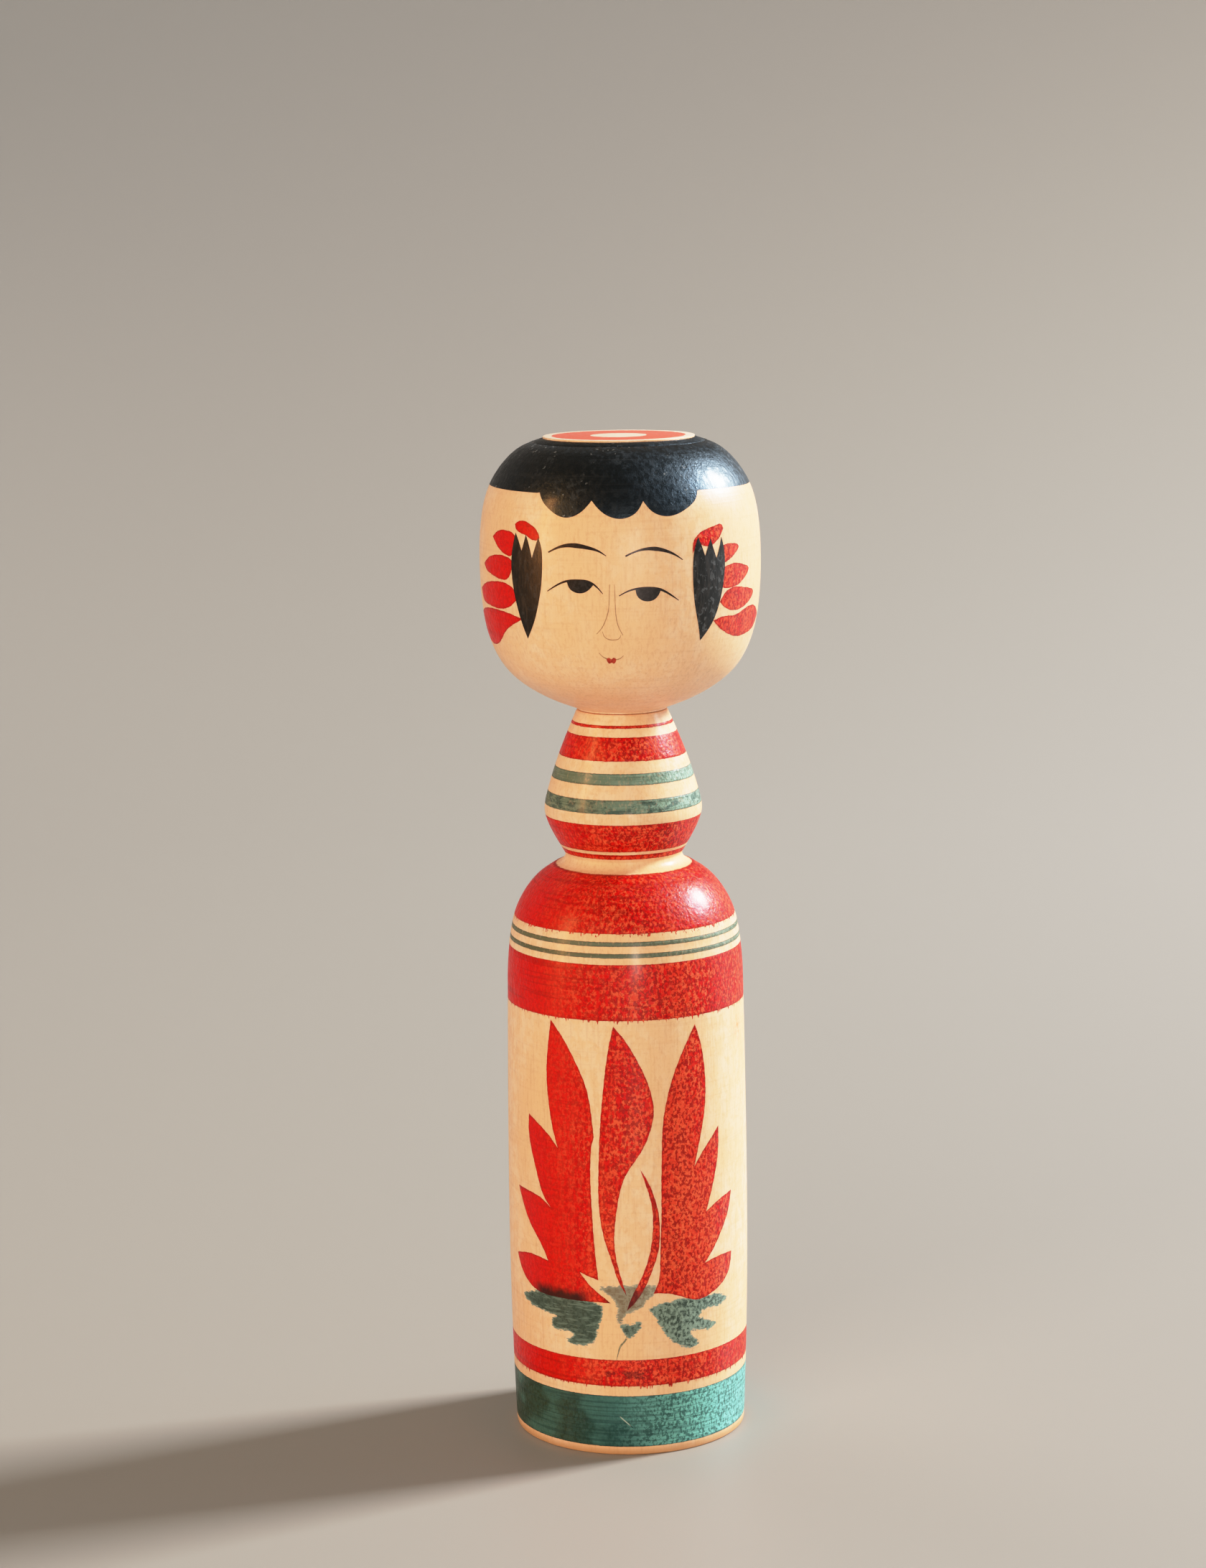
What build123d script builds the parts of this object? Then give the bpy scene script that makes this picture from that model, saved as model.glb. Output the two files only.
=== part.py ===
from build123d import *
import os

# Kokeshi doll, in millimetres: a solid turned head whose tenon turns in a one-piece turned body.
# +Z is the lathe axis, upwards. The origin is the centre of the foot, on the surface it stands on.
# The face looks towards -Y. An outline point is (radius, height).

# Driving dimensions of the whole doll
HEIGHT = 242.8  # about eight sun, a usual height for this kind of doll
TRUNK_RADIUS = 28.6
BULB_RADIUS = 18.95
HEAD_RADIUS = 33.45

# Foot: a slight taper, a softened edge and a hollowed underside, so that the doll stands on a ring
FOOT_RADIUS = 28.1
FOOT_TAPER_HEIGHT = 14.0
FOOT_ROUND = 0.5
HOLLOW_RADIUS = 21.0
HOLLOW_DEPTH = 0.8

# Trunk, rounded shoulder and waist
SHOULDER_START = 110.0
SHOULDER_POINTS = [(27.85, 121.8), (26.3, 128.8), (23.45, 134.1), (20.2, 137.6)]
LEDGE_RADIUS = 16.9
LEDGE_HEIGHT = 139.8
COVE_MIDDLE = (14.75, 140.9)
WAIST_RADIUS = 14.05
WAIST_HEIGHT = 142.4

# Pear-shaped bulb above the waist
BULB_LOWER_POINTS = [(16.25, 146.3), (18.15, 150.2)]
BULB_HEIGHT = 153.5
BULB_UPPER_POINTS = [(18.15, 157.8), (15.7, 165.6), (12.65, 173.3)]
NECK_RADIUS = 10.85
NECK_HEIGHT = 177.4
NECK_ROUND = 0.35

# Tenon of the head in the socket of the body, a running fit
TENON_RADIUS = 8.0
FIT_CLEARANCE = 0.05
TENON_LENGTH = 24.0
SOCKET_DEPTH = 26.0
END_CHAMFER = 0.8
SEAM_GAP = 0.15

# Head
COLLAR_RADIUS = 10.7
COLLAR_HEIGHT = 0.35
CHIN_POINTS = [(16.4, 180.15), (21.9, 183.1), (27.3, 187.65), (31.0, 194.3), (33.0, 204.0)]
HEAD_MIDDLE = 213.5
TEMPLE_POINTS = [(32.75, 224.6), (31.25, 230.5), (27.15, 237.1)]
CROWN_RADIUS = 22.2
CROWN_HEIGHT = 240.85
DISC_RADIUS = 18.0
DISC_STEP = 0.45
DISC_ROUND = 0.15

UP = (0, 1)
os.makedirs("parts", exist_ok=True)

with BuildPart() as body:
    with BuildSketch(Plane.XZ):
        with BuildLine():
            underside = ThreePointArc(
                (0, HOLLOW_DEPTH), (HOLLOW_RADIUS / 2, HOLLOW_DEPTH * 3 / 4), (HOLLOW_RADIUS, 0)
            )
            ring = Line(underside @ 1, (FOOT_RADIUS, 0))
            taper = Line(ring @ 1, (TRUNK_RADIUS, FOOT_TAPER_HEIGHT))
            wall = Line(taper @ 1, (TRUNK_RADIUS, SHOULDER_START))
            shoulder = Spline(
                [wall @ 1, *SHOULDER_POINTS, (LEDGE_RADIUS, LEDGE_HEIGHT)],
                tangents=[UP, (-3, 2)],
            )
            cove = ThreePointArc(shoulder @ 1, COVE_MIDDLE, (WAIST_RADIUS, WAIST_HEIGHT))
            bulb_lower = Spline(
                [cove @ 1, *BULB_LOWER_POINTS, (BULB_RADIUS, BULB_HEIGHT)],
                tangents=[(1, 2), UP],
            )
            bulb_upper = Spline(
                [bulb_lower @ 1, *BULB_UPPER_POINTS, (NECK_RADIUS, NECK_HEIGHT)],
                tangents=[UP, (-2, 5)],
            )
            Polyline(bulb_upper @ 1, (0, NECK_HEIGHT), underside @ 0)
        make_face()
    revolve(axis=Axis.Z)
    neck_rim = edges().filter_by(GeomType.CIRCLE).sort_by(Axis.Z)[-1]
    fillet(neck_rim, NECK_ROUND)
    foot_edge = edges().filter_by(GeomType.CIRCLE).group_by(Axis.Z)[0].sort_by(SortBy.RADIUS)[-1]
    fillet(foot_edge, FOOT_ROUND)
    with Locations((0, 0, NECK_HEIGHT)):
        Hole(TENON_RADIUS + FIT_CLEARANCE, SOCKET_DEPTH)
    socket_mouth = edges().filter_by(GeomType.CIRCLE).group_by(Axis.Z)[-1].sort_by(SortBy.RADIUS)[0]
    chamfer(socket_mouth, END_CHAMFER / 2)
body.part.label = "body"

head_bottom = NECK_HEIGHT + SEAM_GAP
crown_edge = HEIGHT - DISC_STEP

with BuildPart() as head:
    with BuildSketch(Plane.XZ):
        with BuildLine():
            collar = Polyline(
                (0, head_bottom), (COLLAR_RADIUS, head_bottom), (COLLAR_RADIUS, head_bottom + COLLAR_HEIGHT)
            )
            chin = Spline(
                [collar @ 1, *CHIN_POINTS, (HEAD_RADIUS, HEAD_MIDDLE)],
                tangents=[(5, 2), UP],
            )
            temple = Spline(
                [chin @ 1, *TEMPLE_POINTS, (CROWN_RADIUS, CROWN_HEIGHT)],
                tangents=[UP, (-5, 2)],
            )
            Polyline(
                temple @ 1,
                (DISC_RADIUS, crown_edge),
                (DISC_RADIUS, HEIGHT),
                (0, HEIGHT),
                collar @ 0,
            )
        make_face()
    revolve(axis=Axis.Z)
    disc_edge = edges().filter_by(GeomType.CIRCLE).sort_by(Axis.Z)[-1]
    fillet(disc_edge, DISC_ROUND)
    with BuildSketch(Plane.XY.offset(head_bottom)):
        Circle(TENON_RADIUS)
    extrude(amount=-TENON_LENGTH)
    tenon_end = edges().filter_by(GeomType.CIRCLE).sort_by(Axis.Z)[0]
    chamfer(tenon_end, END_CHAMFER)
head.part.label = "head"

export_step(body.part, "parts/body.step")
export_step(head.part, "parts/head.step")
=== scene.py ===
import math

import bpy
import numpy as np
from mathutils import Matrix, Vector
from mathutils.geometry import delaunay_2d_cdt


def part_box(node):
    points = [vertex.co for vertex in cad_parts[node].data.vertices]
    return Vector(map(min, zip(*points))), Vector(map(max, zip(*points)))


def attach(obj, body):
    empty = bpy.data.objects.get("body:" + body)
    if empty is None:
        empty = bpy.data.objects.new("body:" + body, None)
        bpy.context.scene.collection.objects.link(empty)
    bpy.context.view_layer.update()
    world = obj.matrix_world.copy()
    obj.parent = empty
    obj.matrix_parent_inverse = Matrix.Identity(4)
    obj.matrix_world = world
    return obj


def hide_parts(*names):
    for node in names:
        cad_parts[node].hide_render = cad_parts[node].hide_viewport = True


# Kokeshi doll. Outlines are in millimetres, as (radius, height) for turned shapes and as
# (degrees from the front, towards +X, height) for brushed ones. Meshes are made in metres.
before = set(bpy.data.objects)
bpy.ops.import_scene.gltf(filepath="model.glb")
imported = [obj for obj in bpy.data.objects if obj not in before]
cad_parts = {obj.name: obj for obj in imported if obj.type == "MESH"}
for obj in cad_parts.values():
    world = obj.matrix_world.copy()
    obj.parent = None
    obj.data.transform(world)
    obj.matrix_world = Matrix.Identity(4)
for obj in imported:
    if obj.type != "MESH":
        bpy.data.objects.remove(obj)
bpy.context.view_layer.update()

MM = 0.001
TURN_SEGMENTS = 240
BODY_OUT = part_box("body")[1].x / MM  # trunk radius
HEAD_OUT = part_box("head")[1].x / MM  # head radius
DOLL_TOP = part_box("head")[1].z / MM
NECK_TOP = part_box("body")[1].z / MM

# ---- curves and outlines


def smooth_curve(points, start=None, end=None, step=0.32):
    """Points about step apart on a cubic spline through points, with optional end directions."""
    p = np.array(points, float)
    if len(p) == 2 and start is None and end is None:
        count = max(2, int(np.linalg.norm(p[1] - p[0]) / step) + 1)
        return p[0] + np.linspace(0, 1, count)[:, None] * (p[1] - p[0])
    chord = np.linalg.norm(np.diff(p, axis=0), axis=1)
    n = len(p)
    a = np.zeros((n, n))
    b = np.zeros((n, 2))
    for i in range(1, n - 1):
        before, after = chord[i - 1], chord[i]
        a[i, i - 1 : i + 2] = after, 2 * (before + after), before
        b[i] = 3 * (after * (p[i] - p[i - 1]) / before + before * (p[i + 1] - p[i]) / after)
    for row, other, direction, length in ((0, 1, start, chord[0]), (-1, -2, end, chord[-1])):
        if direction is None:
            a[row, row], a[row, other] = 2, 1
            b[row] = 3 * (p[1] - p[0] if row == 0 else p[-1] - p[-2]) / length
        else:
            a[row, row] = 1
            b[row] = np.array(direction, float) / np.linalg.norm(direction)
    slope = np.linalg.solve(a, b)
    made = []
    for i, length in enumerate(chord):
        t = np.linspace(0, 1, max(2, int(length / step) + 1), endpoint=False)[:, None]
        made.append(
            p[i] * (2 * t**3 - 3 * t**2 + 1)
            + slope[i] * length * (t**3 - 2 * t**2 + t)
            + p[i + 1] * (3 * t**2 - 2 * t**3)
            + slope[i + 1] * length * (t**3 - t**2)
        )
    return np.vstack([*made, p[-1:]])


def arc(centre, radius, start_degrees, end_degrees, count):
    """Count points on an arc of an outline."""
    t = np.radians(np.linspace(start_degrees, end_degrees, count))
    return np.column_stack([centre[0] + radius * np.cos(t), centre[1] + radius * np.sin(t)])


def joined(*stretches):
    """Stretches of an outline end to end, without repeated points."""
    points = np.vstack([np.array(s, float) for s in stretches])
    far = np.linalg.norm(np.diff(points, axis=0), axis=1) > 1e-4
    return points[np.concatenate([[True], far])]


UP = (0, 1)
SEAM = 0.15  # gap under the head's collar
FOOT = 27.6  # radius of the flat ring that the doll stands on
TRUNK_TOP = (BODY_OUT, 110)  # where the shoulder begins to round over
LEDGE = (16.9, 139.8)  # inner end of the shoulder
WAIST = (14.05, 142.4)
BULB = (18.95, 153.5)
SOCKET = 8.05  # radius
TENON = 8.0  # radius
HEAD_FOOT = NECK_TOP + SEAM
HEAD_WIDEST = (HEAD_OUT, 213.5)
DISC = 18.0  # radius of the flat disc on the crown

body_outline = joined(
    smooth_curve([(0, 0.8), (12, 0.55), (21, 0)], step=1),
    [(FOOT, 0)],
    arc((FOOT, 0.5), 0.5, -90, -2, 8),
    smooth_curve([(28.13, 0.8), (BODY_OUT, 14), TRUNK_TOP], step=1),
    smooth_curve(
        [TRUNK_TOP, (27.85, 121.8), (26.3, 128.8), (23.45, 134.1), (20.2, 137.6), LEDGE],
        UP,
        (-3, 2),
    ),
    smooth_curve([LEDGE, (15.4, 140.35), (14.4, 141.35), WAIST], (-5, 1), UP, step=0.15),
    smooth_curve([WAIST, (16.25, 146.3), (18.15, 150.2), BULB], (1, 2), UP),
    smooth_curve([BULB, (18.15, 157.8), (15.7, 165.6), (12.65, 173.3), (11.05, NECK_TOP - 0.35)], UP),
    arc((10.6, NECK_TOP - 0.4), 0.4, 10, 90, 7),
    [(8.35, NECK_TOP), (SOCKET, NECK_TOP - 0.4), (SOCKET, NECK_TOP - 4), (0, NECK_TOP - 4)],
)
head_outline = joined(
    [(0, NECK_TOP - 3), (TENON, NECK_TOP - 3), (TENON, HEAD_FOOT), (10.5, HEAD_FOOT)],
    arc((10.5, HEAD_FOOT + 0.2), 0.2, -90, 0, 4),
    smooth_curve(
        [
            (10.7, HEAD_FOOT + 0.35),
            (16.4, 180.15),
            (21.9, 183.1),
            (27.3, 187.65),
            (31, 194.3),
            (33, 204),
            HEAD_WIDEST,
        ],
        (5, 2),
        UP,
    ),
    smooth_curve(
        [HEAD_WIDEST, (32.75, 224.6), (31.25, 230.5), (27.15, 237.1), (22.2, 240.85)],
        UP,
        (-5, 2),
    ),
    [(20.75, 241.46), (20.5, 241.4), (20.35, 241.42), (20.15, 241.66)],  # a fine groove in the crown
    [(DISC, DOLL_TOP - 0.45), (DISC, DOLL_TOP - 0.15)],
    arc((DISC - 0.15, DOLL_TOP - 0.15), 0.15, 0, 90, 4),
    [(0, DOLL_TOP)],
)


class Surface:
    """The outer surface of a turned piece between two heights: where (degrees, height) lies.

    Core is a radius that all of the outer surface lies beyond, and the hidden inside doesn't.
    """

    def __init__(self, outline, low, high, core=10):
        outside = (outline[:, 1] >= low) & (outline[:, 1] <= high) & (outline[:, 0] > core)
        r, z = outline[outside].T
        order = np.argsort(z, kind="stable")
        self.z, self.r = z[order], r[order]
        self.slope = np.gradient(self.r, self.z)

    def place(self, degrees, height, lift):
        """World points, lift millimetres outside the surface."""
        t = np.radians(degrees)
        r = np.interp(height, self.z, self.r)
        slope = np.interp(height, self.z, self.slope)
        out = 1 / np.sqrt(1 + slope**2)
        r = r + lift * out
        z = height - lift * slope * out
        return np.column_stack([r * np.sin(t), -r * np.cos(t), z]) * MM


TRUNK = Surface(body_outline, 1, 139)
FACE = Surface(head_outline, 179, 240)

# ---- meshes


def add_mesh(name, vertices, faces, material, body, sharp_degrees=40):
    """A visual piece that rides a body, smooth but for edges sharper than sharp_degrees."""
    mesh = bpy.data.meshes.new(name)
    mesh.from_pydata([tuple(v) for v in vertices], [], faces)
    mesh.validate()
    mesh.shade_smooth()
    mesh.set_sharp_from_angle(angle=math.radians(sharp_degrees))
    piece = bpy.data.objects.new(name, mesh)
    bpy.context.scene.collection.objects.link(piece)
    mesh.materials.append(material)
    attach(piece, body)
    return piece


def turned(name, outline, material, body, slot):
    """A closed solid of revolution from an outline that starts and ends on the axis."""
    angles = np.linspace(0, 2 * np.pi, TURN_SEGMENTS, endpoint=False)
    ring_points = outline[1:-1]
    vertices = [(0, 0, outline[0][1] * MM)]
    for r, z in ring_points:
        vertices += [(r * math.sin(t) * MM, -r * math.cos(t) * MM, z * MM) for t in angles]
    vertices.append((0, 0, outline[-1][1] * MM))
    last = len(vertices) - 1
    faces = []
    for k in range(TURN_SEGMENTS):
        after = (k + 1) % TURN_SEGMENTS
        faces.append((0, 1 + after, 1 + k))
        for ring in range(len(ring_points) - 1):
            low, high = 1 + ring * TURN_SEGMENTS, 1 + (ring + 1) * TURN_SEGMENTS
            faces.append((low + k, low + after, high + after, high + k))
        top = 1 + (len(ring_points) - 1) * TURN_SEGMENTS
        faces.append((top + k, top + after, last))
    return add_mesh(name, vertices, faces, material, body, sharp_degrees=32)


LIFT = 0.035  # a film of dye stands this far proud of the wood
SINK = 0.05  # and its underside lies this far inside


def edge_distance(points, loop):
    """Distance from each point to a closed loop, negative outside it."""
    a = loop
    b = np.roll(loop, -1, axis=0)
    along = b - a
    gap = points[:, None] - a
    t = np.clip((gap * along).sum(2) / np.maximum((along**2).sum(1), 1e-12), 0, 1)
    distance = np.linalg.norm(gap - t[:, :, None] * along, axis=2).min(1)
    y = points[:, 1:]
    straddles = (a[:, 1] > y) != (b[:, 1] > y)
    rise = np.where(along[:, 1] == 0, 1, along[:, 1])
    left_of = points[:, :1] < a[:, 0] + (y - a[:, 1]) * along[:, 0] / rise
    inside = (straddles & left_of).sum(1) % 2 == 1
    return np.where(inside, distance, -distance)


def film(name, outline, surface, material, body, grid=0.8, lift=LIFT):
    """A thin closed sheet wrapped on a surface, from a closed outline of (degrees, height).

    Its point attribute "rim" is the distance from the outline in millimetres.
    """
    scale = np.array([math.radians(1) * surface.r.max(), 1.0])
    edge = outline * scale
    low, high = edge.min(0), edge.max(0)
    across = np.arange(low[0], high[0], grid)
    rows = np.arange(low[1] + grid / 2, high[1], grid * 0.87)
    inner = np.empty((0, 2))
    for k, y in enumerate(rows):
        row = np.column_stack([across + grid / 2 * (k % 2), np.full(len(across), y)])
        inner = np.vstack([inner, row])
    inner = inner[edge_distance(inner, edge) > grid * 0.35]
    count = len(edge)
    ring = [(i, (i + 1) % count) for i in range(count)]
    flat = [Vector(q) for q in np.vstack([edge, inner])]
    spots, _, triangles, *_ = delaunay_2d_cdt(flat, ring, [], 1, 1e-5)
    spots = np.array(spots)
    triangles = np.array(triangles)
    triangles = triangles[edge_distance(spots[triangles].mean(1), edge) > 0]
    used, top = np.unique(triangles, return_inverse=True)
    top = top.reshape(-1, 3)
    spots = spots[used]
    count = len(spots)
    border = set()
    for triangle in top.tolist():
        for k in range(3):
            start, stop = triangle[k], triangle[(k + 1) % 3]
            if (stop, start) in border:
                border.remove((stop, start))
            else:
                border.add((start, stop))
    bottom = top[:, ::-1] + count
    walls = [(stop, start, start + count, stop + count) for start, stop in sorted(border)]
    degrees, height = (spots / scale).T
    vertices = np.vstack([surface.place(degrees, height, lift), surface.place(degrees, height, -SINK)])
    faces = [*map(tuple, top.tolist()), *map(tuple, bottom.tolist()), *walls]
    piece = add_mesh(name, vertices, faces, material, body)
    rim = np.maximum(edge_distance(spots, edge), 0)
    rim[np.unique([start for start, _ in border])] = 0
    piece.data.attributes.new("rim", "FLOAT", "POINT").data.foreach_set("value", np.tile(rim, 2))
    return piece


ROUGH_PACES = (2.1, 5.3, 9.7, 14.9)  # radians per millimetre, of the waves that roughen an edge


def outline_of(stretches, radius, step=0.3, rough=0.0, seed=1, grow=0.0):
    """A closed outline from stretches that meet in corners.

    Rough edges follow fixed sine waves. Grow moves the outline outwards, in millimetres.
    """
    scale = np.array([math.radians(1) * radius, 1.0])
    corners = np.array([stretch[0] for stretch in stretches]) * scale
    every = np.vstack([np.array(stretch) for stretch in stretches]) * scale
    after = np.roll(every, -1, axis=0)
    clockwise = np.sign((every[:, 0] * after[:, 1] - after[:, 0] * every[:, 1]).sum())
    made = []
    for i, stretch in enumerate(stretches):
        ends = np.vstack([np.array(stretch) * scale, corners[(i + 1) % len(corners)]])
        points = smooth_curve(ends, step=step)
        along = np.concatenate([[0], np.cumsum(np.linalg.norm(np.diff(points, axis=0), axis=1))])
        direction = np.gradient(points, axis=0)
        normal = np.column_stack([direction[:, 1], -direction[:, 0]]) * clockwise
        normal /= np.linalg.norm(normal, axis=1)[:, None] + 1e-9
        wave = sum(
            np.sin(along * pace + seed * (k + 1.7) + i) / (k + 1.5) for k, pace in enumerate(ROUGH_PACES)
        )
        fade = np.clip(np.minimum(along, along[-1] - along), 0, 1)
        made.append((points + normal * (rough * wave * fade + grow)[:, None])[:-1])
    return np.vstack(made) / scale


def stroke(spine, widths, radius, step=0.3):
    """A brush stroke's outline: a smooth spine of (degrees, height), with widths in millimetres."""
    scale = np.array([math.radians(1) * radius, 1.0])
    line = smooth_curve(np.array(spine) * scale, step=step)
    direction = np.gradient(line, axis=0)
    normal = np.column_stack([-direction[:, 1], direction[:, 0]])
    normal /= np.linalg.norm(normal, axis=1)[:, None]
    place = np.linspace(0, 1, len(line))
    width = np.interp(place, np.linspace(0, 1, len(widths)), widths)
    width = np.convolve(np.pad(width, 2, mode="edge"), np.ones(5) / 5, mode="valid")
    side = normal * (width / 2)[:, None]
    return np.vstack([line + side, (line - side)[::-1]]) / scale


# ---- materials


class Shader:
    """A material and short calls that add nodes to it. Lengths in its coordinates are millimetres."""

    def __init__(self, name):
        self.material = bpy.data.materials.new(name)
        self.material.use_nodes = True
        self.tree = self.material.node_tree
        self.tree.nodes.clear()
        output = self.tree.nodes.new("ShaderNodeOutputMaterial")
        self.bsdf = self.tree.nodes.new("ShaderNodeBsdfPrincipled")
        self.tree.links.new(self.bsdf.outputs["BSDF"], output.inputs["Surface"])
        coordinates = self.tree.nodes.new("ShaderNodeTexCoord")
        self.place = self.vector("MULTIPLY", coordinates.outputs["Object"], (1000, 1000, 1000))
        split = self.tree.nodes.new("ShaderNodeSeparateXYZ")
        self.put(split.inputs[0], self.place)
        self.x, self.y, self.z = split.outputs

    def put(self, socket, value):
        """Link a socket to another, or set it to a constant."""
        if isinstance(value, bpy.types.NodeSocket):
            self.tree.links.new(value, socket)
        else:
            socket.default_value = value

    def math(self, operation, a, b=0.0, clamp=False):
        node = self.tree.nodes.new("ShaderNodeMath")
        node.operation = operation
        node.use_clamp = clamp
        self.put(node.inputs[0], a)
        self.put(node.inputs[1], b)
        return node.outputs[0]

    def vector(self, operation, a, b):
        node = self.tree.nodes.new("ShaderNodeVectorMath")
        node.operation = operation
        self.put(node.inputs[0], a)
        self.put(node.inputs[1], b)
        return node.outputs[0]

    def radius(self):
        """Distance from the lathe axis."""
        x_squared = self.math("MULTIPLY", self.x, self.x)
        y_squared = self.math("MULTIPLY", self.y, self.y)
        return self.math("SQRT", self.math("ADD", x_squared, y_squared))

    def degrees(self):
        """Degrees from the front, towards +X."""
        return self.math("DEGREES", self.math("ARCTAN2", self.x, self.math("MULTIPLY", self.y, -1)))

    def rim(self):
        """Distance from a film's outline, as film() stores it."""
        node = self.tree.nodes.new("ShaderNodeAttribute")
        node.attribute_name = "rim"
        return node.outputs["Fac"]

    def noise(self, stretch, detail=2.0, roughness=0.5, shift=0.0, distortion=0.0):
        """Noise about 0.5, whose features are 1 / stretch millimetres long each way."""
        node = self.tree.nodes.new("ShaderNodeTexNoise")
        node.inputs["Scale"].default_value = 1.0
        node.inputs["Detail"].default_value = detail
        node.inputs["Roughness"].default_value = roughness
        node.inputs["Distortion"].default_value = distortion
        moved = self.vector("MULTIPLY", self.place, stretch)
        self.put(node.inputs["Vector"], self.vector("ADD", moved, (shift, -shift, shift / 2)))
        return node.outputs["Fac"]

    def spread(self, noise, reach):
        """A noise about 0.5, turned into one about 0 and reach long from end to end."""
        return self.math("MULTIPLY", self.math("SUBTRACT", noise, 0.5), reach)

    def step(self, value, low, high, to_low=0.0, to_high=1.0):
        """value from low to high, smoothly turned into to_low to to_high and clamped."""
        node = self.tree.nodes.new("ShaderNodeMapRange")
        node.interpolation_type = "SMOOTHSTEP"
        self.put(node.inputs["Value"], value)
        self.put(node.inputs["From Min"], low)
        self.put(node.inputs["From Max"], high)
        node.inputs["To Min"].default_value = to_low
        node.inputs["To Max"].default_value = to_high
        return node.outputs["Result"]

    def mix(self, factor, a, b):
        node = self.tree.nodes.new("ShaderNodeMix")
        node.data_type = "RGBA"
        for socket, value in ((node.inputs[0], factor), (node.inputs[6], a), (node.inputs[7], b)):
            self.put(socket, (*value, 1) if isinstance(value, tuple) else value)
        return node.outputs[2]

    def between(self, value, low, high, soft):
        """1 between low and high, with soft ends."""
        rise = self.step(value, low - soft, low + soft)
        fall = self.step(value, high - soft, high + soft)
        return self.math("SUBTRACT", rise, fall, clamp=True)

    def depth(self, bands, above, below):
        """How far inside the nearest of some bands (low, high) a place is, negative outside them.

        Above is the place that lower edges are measured to, and below the one for upper edges.
        """
        deepest = -99.0
        for low, high in bands:
            from_low = self.math("SUBTRACT", above, low)
            from_high = self.math("SUBTRACT", high, below)
            deepest = self.math("MAXIMUM", self.math("MINIMUM", from_low, from_high), deepest)
        return deepest

    def product(self, *factors):
        whole = factors[0]
        for factor in factors[1:]:
            whole = self.math("MULTIPLY", whole, factor)
        return whole

    def bump(self, *layers):
        """Chained bumps: (height socket, depth in millimetres)."""
        normal = None
        for height, depth in layers:
            node = self.tree.nodes.new("ShaderNodeBump")
            node.inputs["Strength"].default_value = 1.0
            node.inputs["Distance"].default_value = depth * MM
            self.put(node.inputs["Height"], height)
            if normal is not None:
                self.put(node.inputs["Normal"], normal)
            normal = node.outputs["Normal"]
        self.put(self.bsdf.inputs["Normal"], normal)

    def finish(self, colour, roughness, coat=0.0, coat_roughness=0.2, specular=0.5):
        """Fill the shader's inputs. Coat and specular are constants of the material."""
        self.put(self.bsdf.inputs["Base Color"], colour)
        self.put(self.bsdf.inputs["Roughness"], roughness)
        self.bsdf.inputs["Coat Weight"].default_value = coat
        self.bsdf.inputs["Coat Roughness"].default_value = coat_roughness
        self.bsdf.inputs["Specular IOR Level"].default_value = specular
        return self.material


BARE, RED, GREEN, BLACK = "bare_wood", "red_dye", "green_dye", "black_ink"
# Painted bands: (low, high) up the body
RED_BANDS = [
    (17.45, 24.1),
    (107.25, 120.65),
    (127.75, 139.95),
    (143.15, 144.45),
    (145.2, 152.25),
    (166.9, 172.35),
    (174.3, 175.0),
]
OLIVE_BANDS = [(122.15, 123.25), (124.85, 125.95), (154.9, 158.15), (161.45, 164.15)]
GREEN_BAND = (2.1, 15.0)
DISC_RING = (6.7, 15.9)  # (inner, outer) radius of the red ring on the crown

DYE_SKIN = 0.2  # depth of the dye's roughness in millimetres
RUBBED_WAX = {"coat": 0.12, "coat_roughness": 0.2, "specular": 0.12}
THIN_WAX = {"coat": 0.1, "coat_roughness": 0.3, "specular": 0.2}
WOOD_PALE = (0.99, 0.665, 0.465)
WOOD_WARM = (0.93, 0.555, 0.32)
WOOD_DARK = (0.52, 0.26, 0.11)
# Painted light: the paler wood of the crown's top face, lit from above
WOOD_PAINTED_TOP_LIGHT = (0.96, 0.84, 0.74)
RED_DEEP = (0.29, 0.001, 0.0005)
RED_DYE = (0.71, 0.002, 0.0005)
RED_THIN = (0.95, 0.12, 0.045)
RED_BLACK = (0.045, 0.006, 0.006)
# Painted sheen: the pale pink of the red ring on the crown's top face
RED_PAINTED_TOP_SHEEN = (0.95, 0.20, 0.13)
GREEN_DEEP = (0.006, 0.032, 0.035)
GREEN_DYE = (0.008, 0.048, 0.047)
GREEN_THIN = (0.24, 0.68, 0.64)
# Painted warm light: the green band's colour on its warmly lit -X side
GREEN_PAINTED_WARM_LIGHT = (0.032, 0.036, 0.006)
GREEN_SCRAPED = (0.42, 0.5, 0.44)
OLIVE_DEEP = (0.065, 0.095, 0.06)
OLIVE_DYE = (0.115, 0.185, 0.145)
OLIVE_THIN = (0.32, 0.50, 0.43)
# Painted warm light: the olive bands' colour on their warmly lit -X side
OLIVE_PAINTED_WARM_LIGHT = (0.20, 0.18, 0.08)
OLIVE_BROWN = (0.10, 0.09, 0.045)
LEAF_DEEP = (0.018, 0.052, 0.045)
LEAF_THIN = (0.23, 0.35, 0.30)
HAIR_BLACK = (0.0012, 0.0012, 0.0016)
HAIR_TURNED = (0.012, 0.012, 0.013)
HAIR_RUBBED = (0.014, 0.016, 0.019)
HAIR_DUST = (0.20, 0.21, 0.22)
# Painted reflection: a blue tint for the hair's gloss, standing in for cool light
HAIR_PAINTED_BLUE_REFLECTION = (0.50, 0.78, 1.0, 1)
LOCK_BLACK = (0.004, 0.004, 0.003)
LOCK_BRUSHED = (0.022, 0.017, 0.013)
# Painted sheen: the bluish grey of light reflected on the locks' lit side
LOCK_PAINTED_SHEEN = (0.10, 0.11, 0.12)


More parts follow.
